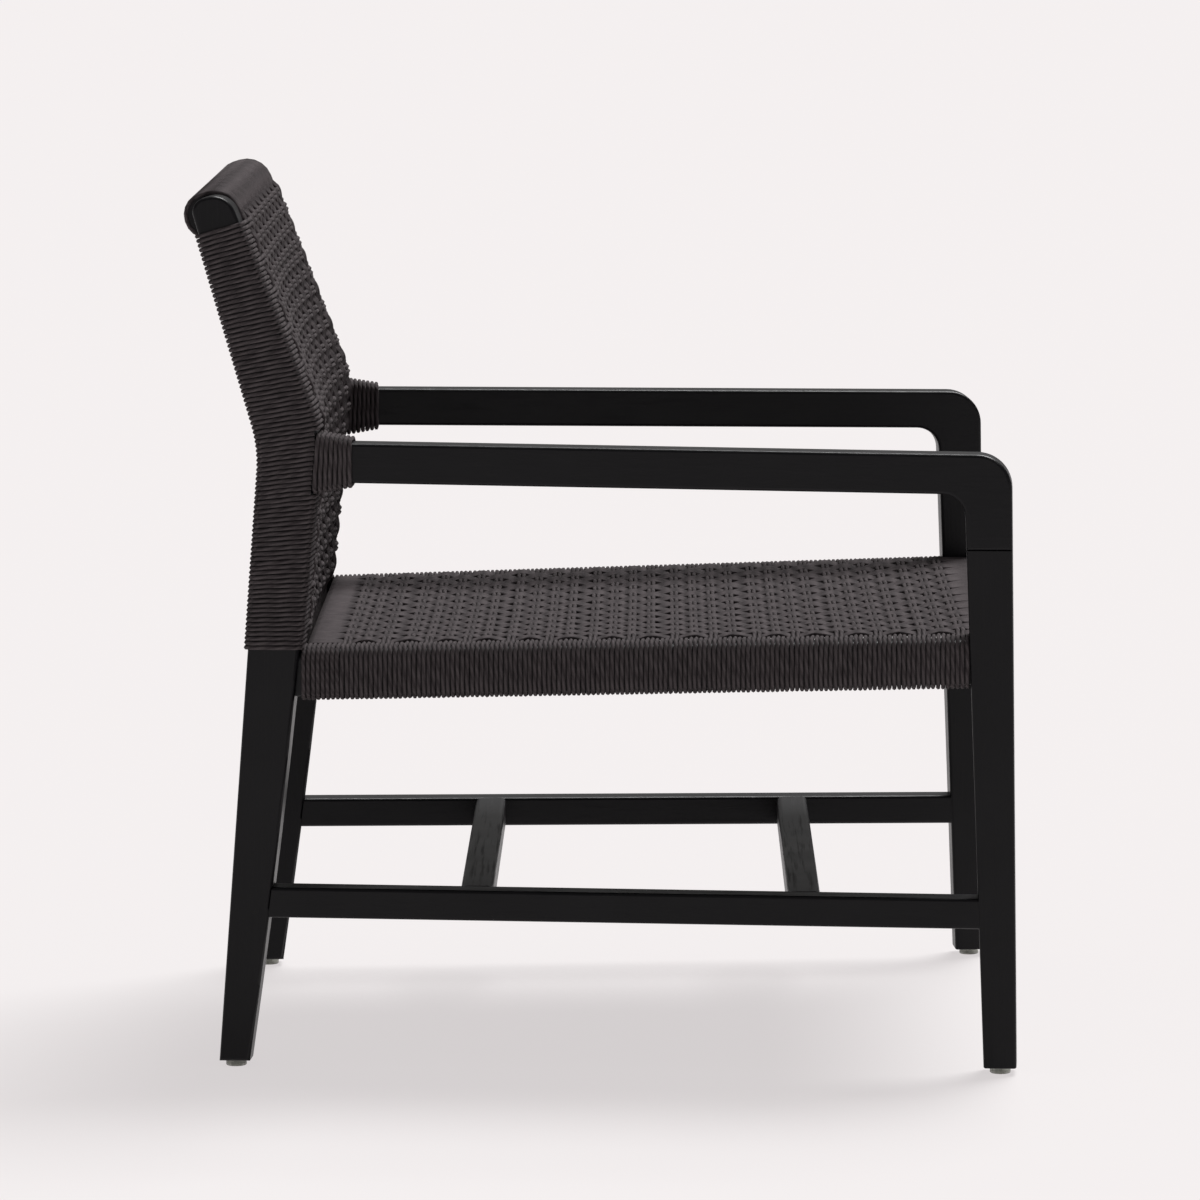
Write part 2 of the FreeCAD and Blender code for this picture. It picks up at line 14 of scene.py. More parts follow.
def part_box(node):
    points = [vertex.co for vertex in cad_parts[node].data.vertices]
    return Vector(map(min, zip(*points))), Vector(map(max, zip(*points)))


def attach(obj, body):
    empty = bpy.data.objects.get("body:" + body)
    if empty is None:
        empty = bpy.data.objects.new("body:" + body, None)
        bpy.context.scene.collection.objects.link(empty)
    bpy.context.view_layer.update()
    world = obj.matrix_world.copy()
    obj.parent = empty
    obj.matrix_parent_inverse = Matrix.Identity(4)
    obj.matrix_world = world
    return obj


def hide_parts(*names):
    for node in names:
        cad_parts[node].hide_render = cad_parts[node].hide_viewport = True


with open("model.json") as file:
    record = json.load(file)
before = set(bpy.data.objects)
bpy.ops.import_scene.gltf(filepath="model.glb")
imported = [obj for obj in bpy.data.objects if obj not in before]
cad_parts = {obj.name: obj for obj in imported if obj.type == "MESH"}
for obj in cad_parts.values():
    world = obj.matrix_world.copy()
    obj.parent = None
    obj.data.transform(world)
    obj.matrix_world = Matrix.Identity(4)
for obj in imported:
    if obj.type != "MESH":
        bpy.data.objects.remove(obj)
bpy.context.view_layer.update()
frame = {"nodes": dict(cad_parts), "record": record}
bpy.ops.object.select_all(action="DESELECT")

# Plan of the two side frames
FRONT_WIDTH = 0.645
REAR_WIDTH = 0.545
REACH = 0.378
FRAME = 0.030
SPLAY = atan2((FRONT_WIDTH - REAR_WIDTH) / 2, 2 * REACH)
MID_OFFSET = (FRONT_WIDTH + REAR_WIDTH) / 4

# Rear post: (y, z) of its edges where the winding starts, at the bend and where it ends
POST_FRONT = ((0.2756, 0.3866), (0.2557, 0.5883), (0.3264, 0.7760))
POST_BACK = ((0.3227, 0.3866), (0.3080, 0.5710), (0.3636, 0.7653))
POST_FRONT_RADIUS = 0.080
POST_BACK_RADIUS = 0.120

# Armrest where it meets the post
ARM_TOP = 0.5722
ARM_SLOPE = 0.01445
ARM_DEPTH = 0.0362
ARM_FLARE = 0.0050
ARM_TURNS = 8
ARM_TURN = 0.0041
ARM_TURNS_START = 0.0025
ARM_TURN_LEAN = 0.07
ARM_FLARE_LOW = 1.3
ARM_FLARE_SIDE = 0.25

# Seat rails
SEAT_TOP = 0.3952
SEAT_SLOPE = 0.0202
RAIL_DEPTH = 0.0415
RAIL_TAPER = 0.0035
SIDE_RAIL_OUT = 0.006
SIDE_RAIL_IN = 0.030
SIDE_RAIL_TOP_ROUND = 0.009
EDGE_ROUND = 0.003
RAIL_ROUND = 0.004
RAIL_FRONT = -0.3335
RAIL_BACK = 0.2745

# Section of the crest rail: (y, z, radius) of its corners, clockwise from the top of its front face
CREST_CORNERS = ((0.3370, 0.8043, 0.021), (0.3775, 0.7918, 0.0165), (0.3681, 0.7591, 0.0165),
                 (0.3247, 0.7715, 0.008))
CREST_START = 0.3

# Cord work
CORD = 0.0040
R = CORD / 2
TURN = 0.00441
POST_TURNS = 90
BACK_CORD_RADIUS = 0.00222
SEAT_CORD_RADIUS = 0.00208
PANEL_INSET = 0.0363
RAIL_INSET = 0.0322
GROUP = 6
SEAT_GROUPS = 22
BACK_GROUPS = 18
COLUMN = 0.0187
ROW = 0.0170
PAIR_LIFT = 0.0029
DENSE_LIFT = 0.0019
SQUEEZE = 0.03
SQUEEZE_REST = 0.02
SEAT_DISH = 0.0065
BACK_DISH = 0.0115
FLAT_FROM = 0.70
PAIR_STEPS = (0.0, 0.7, 1.7, 3.0, 4.3, 5.3)
PAIR_STEEPNESS = 2.4
PANEL_SIDE = 0.999
WAVE_STEPS = 5
WAVER_STEP = 0.011
DRIFT_SCALE = 0.0045
BACK_LENGTH = 0.4

rng = Random(7)


# ---------------------------------------------------------------- shader maths

class Val:
    """A socket that can be used in an expression: each operator adds its Math node."""

    def __init__(self, tree, socket):
        self.tree = tree
        self.socket = socket

    def _math(self, operation, *values):
        node = self.tree.nodes.new("ShaderNodeMath")
        node.operation = operation
        for slot, value in zip(node.inputs, values):
            if isinstance(value, Val):
                self.tree.links.new(value.socket, slot)
            else:
                slot.default_value = value
        return Val(self.tree, node.outputs[0])

    def __add__(self, other):
        return self._math("ADD", self, other)

    __radd__ = __add__

    def __mul__(self, other):
        return self._math("MULTIPLY", self, other)

    __rmul__ = __mul__

    def __sub__(self, other):
        return self._math("SUBTRACT", self, other)

    def __rsub__(self, other):
        return self._math("SUBTRACT", other, self)

    def __pow__(self, other):
        return self._math("POWER", self, other)

    def sine(self):
        return self._math("SINE", self)

    def clamped(self):
        return self._math("MINIMUM", self._math("MAXIMUM", self, 0.0), 1.0)


class Finish:
    """A material and its Principled shader."""

    def __init__(self, name, **constants):
        self.material = bpy.data.materials.new(name)
        self.material.use_nodes = True
        self.tree = self.material.node_tree
        self.shader = self.tree.nodes["Principled BSDF"]
        for socket, value in constants.items():
            self.shader.inputs[socket.replace("_", " ")].default_value = value

    def node(self, kind, settings=None, out=0, **sockets):
        """Any other node: settings first, then the values or links of its sockets."""
        node = self.tree.nodes.new(kind)
        for name, value in (settings or {}).items():
            setattr(node, name, value)
        for name, value in sockets.items():
            slot = node.inputs[int(name[1:])] if name[0] == "i" and name[1:].isdigit() else node.inputs[name]
            if isinstance(value, Val):
                self.tree.links.new(value.socket, slot)
            else:
                slot.default_value = value
        return Val(self.tree, node.outputs[out])

    def place(self, output="Object"):
        node = self.tree.nodes.new("ShaderNodeTexCoord")
        return Val(self.tree, node.outputs[output])

    def scaled(self, vector, scale):
        return self.node("ShaderNodeMapping", i0=vector, Scale=scale)

    def noise(self, vector, scale, detail=3.0, roughness=0.55):
        return self.node("ShaderNodeTexNoise", Vector=vector, Scale=scale, Detail=detail, Roughness=roughness)

    def blend(self, factor, low, high):
        """Colour between low and high by a factor."""
        node = self.tree.nodes.new("ShaderNodeMix")
        node.data_type = "RGBA"
        self.tree.links.new(factor.socket, node.inputs[0])
        for slot, colour in ((node.inputs[6], low), (node.inputs[7], high)):
            if isinstance(colour, Val):
                self.tree.links.new(colour.socket, slot)
            else:
                slot.default_value = (*colour, 1.0)
        return Val(self.tree, node.outputs[2])

    def feed(self, **links):
        for name, value in links.items():
            self.tree.links.new(value.socket, self.shader.inputs[name.replace("_", " ")])

    def bump(self, height, strength, distance):
        self.feed(Normal=self.node("ShaderNodeBump", Height=height, Strength=strength, Distance=distance))


# ---------------------------------------------------------------- finishes

GRAIN_STRETCH = {"X": (9.0, 260.0, 260.0), "Y": (260.0, 9.0, 260.0), "Z": (260.0, 260.0, 9.0)}


def stained_wood(axis):
    """Black stain under thin satin lacquer, with open grain along one axis."""
    wood = Finish("black stained wood, grain along " + axis, Specular_IOR_Level=0.22)
    place = wood.place()
    grain = wood.noise(wood.scaled(place, GRAIN_STRETCH[axis]), 1.0, 4.0, 0.65)
    fibre = wood.noise(wood.scaled(place, tuple(4 * s for s in GRAIN_STRETCH[axis])), 1.0, 2.0)
    cloud = wood.noise(place, 14.0, 2.0)
    pores = ((grain - 0.52) * 7.0).clamped()
    wood.feed(Base_Color=wood.blend(pores, (0.0028, 0.0024, 0.0036), (0.0064, 0.0056, 0.0070)),
              Roughness=0.30 + 0.12 * cloud + 0.12 * pores)
    wood.bump(grain * 0.7 + fibre * 0.3, 0.22, 0.0006)
    return wood.material


def cord_finish(name, twists):
    """Twisted charcoal cord, its colour darker in the grooves of the twist as painted shade. The map's first
    axis runs along each cord, its second round it.
    """
    cord = Finish(name, Specular_IOR_Level=0.10, Sheen_Weight=0.06, Sheen_Roughness=0.4)
    cord.shader.inputs["Sheen Tint"].default_value = (0.62, 0.58, 0.57, 1.0)
    place = cord.place()
    fibre = cord.noise(place, 1500.0, 3.0, 0.7)
    lengths = cord.noise(place, 95.0, 2.0)
    along = cord.node("ShaderNodeSeparateXYZ", i0=cord.place("UV"))
    node = along.socket.node
    run = Val(cord.tree, node.outputs[0])
    around = Val(cord.tree, node.outputs[1])
    ply = ((run * twists + around * 2.0) * (2 * pi)).sine() * 0.5 + 0.5
    # Colour: the twist term darkens the grooves between the plies as painted shade; the fibre and length
    # noise are the cord's own uneven tone.
    cord_tone_and_groove_shade = (0.34 * ply + 0.55 * fibre + 0.55 * lengths - 0.16).clamped()
    cord.feed(Base_Color=cord.blend(cord_tone_and_groove_shade, (0.0080, 0.0064, 0.0070), (0.092, 0.0775, 0.0810)),
              Roughness=0.70 + 0.20 * fibre)
    cord.bump(ply * 0.6 + fibre * 0.5, 0.55, 0.0005)
    return cord.material


def glide_finish():
    plastic = Finish("pale translucent plastic", Specular_IOR_Level=0.4, Transmission_Weight=0.35, IOR=1.46)
    place = plastic.place()
    haze = plastic.noise(place, 90.0, 3.0)
    scuff = plastic.noise(plastic.scaled(place, (700.0, 700.0, 80.0)), 1.0, 2.0)
    plastic.feed(Base_Color=plastic.blend(haze, (0.56, 0.57, 0.50), (0.74, 0.75, 0.69)),
                 Roughness=0.28 + 0.25 * scuff)
    plastic.bump(scuff, 0.10, 0.0003)
    return plastic.material


def beech_finish():
    beech = Finish("raw beech", Specular_IOR_Level=0.35)
    grain = beech.noise(beech.scaled(beech.place(), (420.0, 60.0, 420.0)), 1.0, 3.0)
    beech.feed(Base_Color=beech.blend(grain, (0.50, 0.34, 0.20), (0.68, 0.50, 0.33)),
               Roughness=0.55 + 0.15 * grain)
    beech.bump(grain, 0.2, 0.0003)
    return beech.material


def steel_finish():
    steel = Finish("bright zinc", Metallic=1.0)
    scratch = steel.noise(steel.place(), 900.0, 2.0)
    steel.feed(Base_Color=steel.blend(scratch, (0.46, 0.46, 0.47), (0.60, 0.60, 0.61)),
               Roughness=0.25 + 0.20 * scratch)
    steel.bump(scratch, 0.1, 0.0002)
    return steel.material


upright_wood = stained_wood("Z")
lengthwise_wood = stained_wood("Y")
crosswise_wood = stained_wood("X")
plain_finishes = {
    "clear_glide": glide_finish(),
    "beech_dowel": beech_finish(),
    "steel_nail": steel_finish(),
}
wood_by_piece = {
    "rear_post": upright_wood, "front_leg": upright_wood,
    "armrest": lengthwise_wood, "seat_side_rail": lengthwise_wood, "side_stretcher": lengthwise_wood,
}
turn_cord = cord_finish("woven cord, short turns", 14.0)
dense_cord = cord_finish("woven cord, lengths", 60.0)
pair_cord = cord_finish("woven cord, pairs", 66.0)

slot_of = {entry["node"]: entry["material_slot"] for entry in frame["record"]["subparts"]}
for node_name, node in frame["nodes"].items():
    material = plain_finishes.get(slot_of[node_name])
    if material is None:
        base = node_name.removesuffix("_left").removesuffix("_right")
        material = wood_by_piece.get(base, crosswise_wood)
    for slot in node.material_slots:
        slot.material = material


# ---------------------------------------------------------------- places

def in_frame(x, y, z, hand):
    """Point of a side frame, set in the chair on the left (hand 1) or the right (hand -1)."""
    return Vector((hand * (MID_OFFSET + x * cos(SPLAY) - y * sin(SPLAY)), x * sin(SPLAY) + y * cos(SPLAY), z))


def half_width(y, inset):
    """Distance from the middle plane to a face that lies inset inside the frame's outer face."""
    return MID_OFFSET - y * tan(SPLAY) - inset / cos(SPLAY)


def rail_top(y):
    return SEAT_TOP - CORD - SEAT_SLOPE * y


def side_rail_low(y):
    return rail_top(y) - RAIL_DEPTH - RAIL_TAPER * y


def smooth(value, start, end):
    """0 before start, 1 after end and an easy slope between."""
    share = min(max((value - start) / (end - start), 0.0), 1.0)
    return share * share * (3 - 2 * share)


def bent_line(start, bend, end, radius):
    """Point at a share t of a line with one rounded bend, with its direction there."""
    start, bend, end = Vector(start), Vector(bend), Vector(end)
    first, second = (bend - start).normalized(), (end - bend).normalized()
    turn = first.angle(second)
    cut = radius * tan(turn / 2)
    straight = (bend - start).length - cut
    arc = radius * turn
    total = straight + arc + (end - bend).length - cut
    side = 1 if first.x * second.y - first.y * second.x > 0 else -1

    def at(t):
        distance = t * total
        if distance < straight:
            return start + first * distance, first
        if distance > straight + arc:
            return bend + second * (cut + distance - straight - arc), second
        angle = (distance - straight) / radius
        inward = Vector((-first.y, first.x)) * side
        heading = first * cos(angle) + inward * sin(angle)
        centre = start + first * straight + inward * radius
        return centre - (inward * cos(angle) - first * sin(angle)) * radius, heading

    return at


def rounded(points, radius, closed, steps=3):
    """Points along a flat polygon with rounded corners; a corner may name its own radius third."""
    line = []
    count = len(points)
    for i, corner in enumerate(points):
        here = Vector(corner[:2])
        if not closed and i in (0, count - 1):
            line.append(here)
            continue
        before = Vector(points[i - 1][:2])
        after = Vector(points[(i + 1) % count][:2])
        into, out = (here - before).normalized(), (after - here).normalized()
        turn = into.angle(out)
        size = corner[2] if len(corner) > 2 else radius
        cut = size * tan(turn / 2)
        side = 1 if into.x * out.y - into.y * out.x > 0 else -1
        inward = Vector((-into.y, into.x)) * side
        centre = here - into * cut + inward * size
        for k in range(steps + 1):
            angle = turn * k / steps
            line.append(centre - (inward * cos(angle) - into * sin(angle)) * size)
    return line


def with_middles(line, closed, longest=0.012):
    """Add points on the straights, so that a cord can waver there."""
    result = []
    count = len(line)
    for i, here in enumerate(line):
        result.append(here)
        if i == count - 1 and not closed:
            break
        after = line[(i + 1) % count]
        pieces = floor((after - here).length / longest)
        for k in range(1, pieces + 1):
            result.append(here.lerp(after, k / (pieces + 1)))
    return result


class Waver:
    """Small slow drift of one cord, different for each cord."""

    def __init__(self, size, wave):
        self.parts = [(size * rng.uniform(0.3, 1.0), wave * rng.uniform(0.7, 1.8), rng.uniform(0, 2 * pi))
                      for _ in range(2)]

    def __call__(self, distance):
        return sum(size * sin(2 * pi * distance / wave + phase) for size, wave, phase in self.parts) / 2


def cord_piece(name, lines, finish, closed=False, radius=R, replaces=()):
    """One mesh of round cords laid along lines of points."""
    curve = bpy.data.curves.new(name, "CURVE")
    curve.dimensions = "3D"
    curve.bevel_depth = radius
    curve.bevel_resolution = 1
    curve.use_fill_caps = True
    for line in lines:
        spline = curve.splines.new("POLY")
        spline.points.add(len(line) - 1)
        spline.points.foreach_set("co", [value for point in line for value in (*point, 1.0)])
        spline.use_cyclic_u = closed
    curve.materials.append(finish)
    piece = bpy.data.objects.new(name, curve)
    bpy.context.scene.collection.objects.link(piece)
    bpy.ops.object.select_all(action="DESELECT")
    bpy.context.view_layer.objects.active = piece
    piece.select_set(True)
    bpy.ops.object.convert(target="MESH")
    bpy.ops.object.shade_smooth()
    piece.select_set(False)
    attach(piece, "root")
    if replaces:
        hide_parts(*replaces)
    return piece


# ---------------------------------------------------------------- winding of the posts

post_front = bent_line(*POST_FRONT, POST_FRONT_RADIUS)
post_back = bent_line(*POST_BACK, POST_BACK_RADIUS)
ROW_TURNS = ROW / TURN
arm_butt_top = ARM_TOP + ARM_SLOPE * POST_FRONT[1][0] + ARM_FLARE + CORD
arm_butt_low = arm_butt_top - ARM_DEPTH - 2 * ARM_FLARE - 2 * CORD


def row_turns():
    """Numbers of the turns that cross the back as the lower cord of each pair."""
    last = POST_TURNS - 2
    rows = int(last / ROW_TURNS)
    return [last - round(k * ROW_TURNS) for k in range(rows, -1, -1)]


def beside_arm(t):
    """Whether the turn at a share t of the post's wound length meets the armrest."""
    return arm_butt_low < post_front(t)[0].y < arm_butt_top


def post_turn(t, hand, kind):
    """One turn round the post at a share t of its wound length.

    A "ring" goes all round; an "arm" turn stops at the armrest; a "row" comes off the front face,
    to cross the back; an "arm row" does so beside the armrest.
    """
    front = post_front(t)[0]
    depth_line = post_back(t)[0] - front
    depth = depth_line.length
    back_way = depth_line.normalized()
    lift = Vector((-back_way.y, back_way.x))
    near, far = R, -FRAME - R
    corner = EDGE_ROUND + R
    if kind == "ring":
        flat = rounded([(far, -R), (near, -R), (near, depth + R), (far, depth + R)], corner, True)
    elif kind == "arm":
        flat = rounded([(near, R), (near, depth + R), (far, depth + R), (far, R)], corner, False)
    elif kind == "row":
        flat = rounded([(far, 0.2 * depth), (far, depth + R), (near, depth + R), (near, -R), (far, -R)],
                       corner, False)
    else:
        flat = rounded([(near, R), (near, depth + R), (far, depth + R), (far, -R)], corner, False)
    flat = with_middles(flat, kind == "ring")
    waver = Waver(0.00035, 0.05)
    proud = rng.uniform(-0.00008, 0.00014)
    line = []
    for i, (x, along) in enumerate(flat):
        drift = waver(i * WAVER_STEP)
        place = front + back_way * along + lift * drift
        line.append(in_frame(x + (proud if x > -FRAME / 2 else -proud), place.x, place.y, hand))
    return line


# ---------------------------------------------------------------- back panel

back_count = GROUP * BACK_GROUPS
rows = row_turns()
row_shares = [(turn + 1.0) / POST_TURNS for turn in rows]
lower_low, lower_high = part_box("lower_back_rail")


def outward(points, distance):
    """Corners (y, z, radius) of a clockwise outline, with each side moved outwards."""
    corners = [Vector(point[:2]) for point in points]
    moved = []
    for k, here in enumerate(corners):
        into = (here - corners[k - 1]).normalized()
        out = (corners[(k + 1) % len(corners)] - here).normalized()
        normals = Vector((-into.y - out.y, into.x + out.x))
        place = here + normals * (distance / (1 + into.dot(out)))
        moved.append((place.x, place.y, points[k][2] + distance))
    return moved


def crest_path():
    """Line of a cord up the front of the crest rail, over it and round underneath."""
    front_top, back_top, back_low, front_low = outward(CREST_CORNERS, R)
    start = (front_low[0] + CREST_START * (front_top[0] - front_low[0]),
             front_low[1] + CREST_START * (front_top[1] - front_low[1]))
    end = (front_low[0] + 0.004, front_low[1] - 0.001)
    return rounded([start, front_top, back_top, back_low, end], RAIL_ROUND, False, 5)


crest_line = with_middles(crest_path(), False, 0.015)


def back_place(u, t, height):
    """Point of the back panel: u from -1 to 1 across it, t up the posts, height out of its face."""
    edge, heading = post_front(t)
    out = Vector((-heading.y, heading.x))
    place = edge + out * (R + height)
    sag = BACK_DISH * (1 - u * u) * (0.35 + 0.65 * sin(pi * min(max(t, 0.0), 1.0)) ** 0.8)
    sag *= 1 - smooth(t, FLAT_FROM, 1.0)
    y = place.x - PANEL_INSET * sin(SPLAY) + sag
    return Vector((u * half_width(y, PANEL_INSET), y, place.y))


def weave_wave(number, group, lift):
    """Height of a dense cord at a place among the pairs: down where its pair passes over."""
    return -lift * (-1) ** group * cos(pi * number)


def pair_wave(index, number, lift):
    """Height of a pair at a place among the dense cords: over one group, under the next."""
    swing = tanh(PAIR_STEEPNESS * sin(pi * (index + 0.5) / GROUP))
    return lift * (-1) ** number * swing / tanh(PAIR_STEEPNESS)


def pair_places(count, number):
    """Places (share across, height) of a pair that goes over and under the groups of a panel."""
    places = []
    for group in range(count // GROUP):
        for step in PAIR_STEPS:
            index = GROUP * group - 0.5 + step
            u = 1 - 2 * index / (count - 1)
            if abs(u) < PANEL_SIDE:
                places.append((u, pair_wave(count - 1 - index, number, PAIR_LIFT)))
    return places


def squeezed(j, number):
    """Place of dense cord j among its neighbours: a group draws together where a pair passes."""
    middle = GROUP * (j // GROUP) + (GROUP - 1) / 2
    draw = SQUEEZE * cos(pi * number) ** 2 - SQUEEZE_REST
    return middle + (j - middle) * (1 - draw)


def back_lengths(first, last):
    """Dense cords from the lower rail up the back and round the crest."""
    lines = []
    turned_front = lower_low.y - R
    turned_back = lower_high.y + R
    steps = [k / WAVE_STEPS for k in range(-2, WAVE_STEPS * (len(rows) - 1) + 2)]
    for j in range(first, last):
        side, up = Waver(0.00045, 0.07), Waver(0.00020, 0.05)
        u = -1 + 2 * j / (back_count - 1)
        spread = half_width(lower_low.y, RAIL_INSET) * u
        corner = RAIL_ROUND + R
        around = rounded([(turned_front + 0.009, lower_high.z + R), (turned_back, lower_high.z + R),
                          (turned_back, lower_low.z - R), (turned_front, lower_low.z - R),
                          (turned_front, lower_high.z - R)], corner, False, 2)
        line = [Vector((spread, y, z)) for y, z in around]
        for number in steps:
            k = min(max(int(floor(number)), 0), len(rows) - 2)
            t = row_shares[k] + (number - k) * (row_shares[k + 1] - row_shares[k])
            across = -1 + 2 * (squeezed(j, number) + side(t * BACK_LENGTH) / DRIFT_SCALE) / (back_count - 1)
            height = weave_wave(number, j // GROUP, DENSE_LIFT) + up(t * BACK_LENGTH)
            line.append(back_place(across, t, height))
        for k, (y, z) in enumerate(crest_line):
            line.append(Vector((half_width(y, RAIL_INSET) * u + side(BACK_LENGTH + 0.006 * k), y, z)))
        lines.append(line)
    return lines


def back_pairs():
    """Pairs of cords that come off one post, cross the back and wind on round the other post."""
    lines = []
    for number, turn in enumerate(rows):
        for strand in (0, 1):
            t = (turn + strand + 0.5) / POST_TURNS
            kind = "arm row" if beside_arm(t) else "row"
            left, right = post_turn(t, 1, kind), post_turn(t, -1, kind)
            up = Waver(0.0003, 0.06)
            cross = [back_place(u, t + up(u * 0.25) / BACK_LENGTH, height)
                     for u, height in pair_places(back_count, number)]
            lines.append(left + cross + right[::-1])
    return lines


# ---------------------------------------------------------------- seat panel

seat_count = GROUP * SEAT_GROUPS
front_low, front_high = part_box("front_seat_rail")
rear_low, rear_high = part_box("rear_seat_rail")
RAIL_TURNS = round((RAIL_BACK - RAIL_FRONT) / TURN)
COLUMN_TURNS = COLUMN / TURN
turn_y = [RAIL_FRONT + (k + 0.5) * (RAIL_BACK - RAIL_FRONT) / RAIL_TURNS for k in range(RAIL_TURNS)]
last_woven = rear_low.y - 0.007


def column_turns():
    """Numbers of the turns that cross the seat as the front cord of each pair."""
    numbers = []
    k = 0
    while turn_y[round(1 + k * COLUMN_TURNS)] < last_woven:
        numbers.append(round(1 + k * COLUMN_TURNS))
        k += 1
    return numbers


columns = column_turns()
column_y = [(turn_y[k] + turn_y[k + 1]) / 2 - PANEL_INSET * sin(SPLAY) for k in columns]


def seat_place(u, y, height):
    """Point of the seat: u from -1 to 1 across it, y along it, height above its surface."""
    span = rear_low.y - front_high.y
    share = min(max((y - front_high.y) / span, 0.0), 1.0)
    sag = SEAT_DISH * (1 - u * u) * (1 - (2 * share - 1) ** 4)
    inset = RAIL_INSET + (PANEL_INSET - RAIL_INSET) * smooth(y, front_high.y, front_high.y + 0.02)
    return Vector((u * half_width(y, inset), y, rail_top(y) + R - sag + height))


def side_rail_turn(y, hand, kind):
    """One turn round the side rail: a "ring", a "column" that crosses the seat, or a "half"
    that stops at the inner face where a cross rail is in the way."""
    near, far = -SIDE_RAIL_OUT + R, -SIDE_RAIL_IN - R
    top, low = rail_top(y) + R, side_rail_low(y) - R
    corner = EDGE_ROUND + R
    outer = (near, top, SIDE_RAIL_TOP_ROUND + R)
    if kind == "ring":
        flat = rounded([(far, top), (far, low), (near, low), outer], corner, True)
    elif kind == "column":
        flat = rounded([(far, top - 0.008), (far, low), (near, low), outer, (far, top)], corner, False)
    else:
        flat = rounded([(far + 0.003, low), (near, low), outer, (far + 0.003, top)], corner, False)
    flat = with_middles(flat, kind == "ring")
    waver = Waver(0.00040, 0.06)
    proud = rng.uniform(-0.0001, 0.00025)
    line = []
    for i, (x, z) in enumerate(flat):
        sink = proud if z < (top + low) / 2 else 0.0
        line.append(in_frame(x, y + waver(i * WAVER_STEP), z - sink, hand))
    return line


def seat_columns():
    """Pairs of cords that come up round one side rail, cross the seat and go down the other."""
    lines = []
    for number, turn in enumerate(columns):
        for strand in (0, 1):
            y = turn_y[turn + strand]
            left, right = side_rail_turn(y, 1, "column"), side_rail_turn(y, -1, "column")
            drift = Waver(0.0004, 0.09)
            cross_y = y * cos(SPLAY) - PANEL_INSET * sin(SPLAY)
            cross = [seat_place(u, cross_y + drift(u * 0.3), height)
                     for u, height in pair_places(seat_count, number)]
            lines.append(left + cross + right[::-1])
    return lines


def seat_lengths(first, last):
    """Dense cords round the front rail, back through the seat and round the rear rail."""
    lines = []
    corner = RAIL_ROUND + R
    count = len(column_y)
    steps = [k / WAVE_STEPS for k in range(-2, WAVE_STEPS * (count - 1) + 3)]
    for j in range(first, last):
        side, up = Waver(0.00045, 0.08), Waver(0.00018, 0.05)
        u = -1 + 2 * j / (seat_count - 1)
        front = rounded([(front_high.y + R, front_high.z - 0.006), (front_high.y + R, front_low.z - R),
                         (front_low.y - R, front_low.z - R), (front_low.y - R, front_high.z + R),
                         (front_high.y, rail_top(front_high.y) + R)], corner, False, 2)
        rear = rounded([(rear_low.y, rail_top(rear_low.y) + R), (rear_high.y + R, rear_high.z + R),
                        (rear_high.y + R, rear_low.z - R), (rear_low.y - R, rear_low.z - R),
                        (rear_low.y - R, rear_high.z - 0.006)], corner, False, 2)
        line = [Vector((u * half_width(y, RAIL_INSET) + side(z), y, z)) for y, z in front]
        for number in steps:
            k = min(max(int(floor(number)), 0), count - 2)
            y = column_y[k] + (number - k) * (column_y[k + 1] - column_y[k])
            across = -1 + 2 * (squeezed(j, number) + side(y) / DRIFT_SCALE) / (seat_count - 1)
            line.append(seat_place(across, y, weave_wave(number, j // GROUP, DENSE_LIFT) + up(y)))
        line += [Vector((u * half_width(y, RAIL_INSET) + side(y + z), y, z)) for y, z in rear]
        lines.append(line)
    return lines


# ---------------------------------------------------------------- armrest turns

def arm_turns(hand):
    """Turns round the armrest where it meets the post, larger towards the post."""
    lines = []
    butt = POST_FRONT[1][0] + ARM_TURNS_START
    for k in range(ARM_TURNS):
        y = butt - (k + 0.5) * ARM_TURN
        grow = ARM_FLARE * (1 - k / ARM_TURNS)
        top = ARM_TOP + ARM_SLOPE * y + grow + R
        low = ARM_TOP + ARM_SLOPE * y - ARM_DEPTH - ARM_FLARE_LOW * grow - R
        side = R + ARM_FLARE_SIDE * grow
        flat = rounded([(-FRAME - side, top), (-FRAME - side, low), (side, low), (side, top)],
                       EDGE_ROUND + R, True)
        waver = Waver(0.0004, 0.05)
        lean = ARM_TURN_LEAN * (1 - k / ARM_TURNS)
        lines.append([in_frame(x, y + lean * (top - z) + waver(i * 0.011), z, hand)
                      for i, (x, z) in enumerate(with_middles(flat, True))])
    return lines


# ---------------------------------------------------------------- the cord pieces

row_set = {turn + strand for turn in rows for strand in (0, 1)}
column_set = {turn + strand for turn in columns for strand in (0, 1)}
for hand, side_name in ((1, "left"), (-1, "right")):
    rings, stops = [], []
    for turn in range(POST_TURNS):
        t = (turn + 0.5) / POST_TURNS
        if turn not in row_set:
            kind = "arm" if beside_arm(t) else "ring"
            (stops if kind == "arm" else rings).append(post_turn(t, hand, kind))
    cord_piece("post_turns_" + side_name, rings, turn_cord, True, replaces=["post_wrap_" + side_name])
    cord_piece("post_turns_by_arm_" + side_name, stops, turn_cord)
    cord_piece("arm_turns_" + side_name, arm_turns(hand), turn_cord, True,
               replaces=["arm_wrap_" + side_name])
    rings, stops = [], []
    for turn in range(RAIL_TURNS):
        if turn not in column_set:
            y = turn_y[turn]
            blocked = y > rear_low.y - CORD
            (stops if blocked else rings).append(side_rail_turn(y, hand, "half" if blocked else "ring"))
    cord_piece("side_rail_turns_" + side_name, rings, turn_cord, True,
               replaces=["side_rail_wrap_" + side_name])
    cord_piece("side_rail_end_turns_" + side_name, stops, turn_cord)

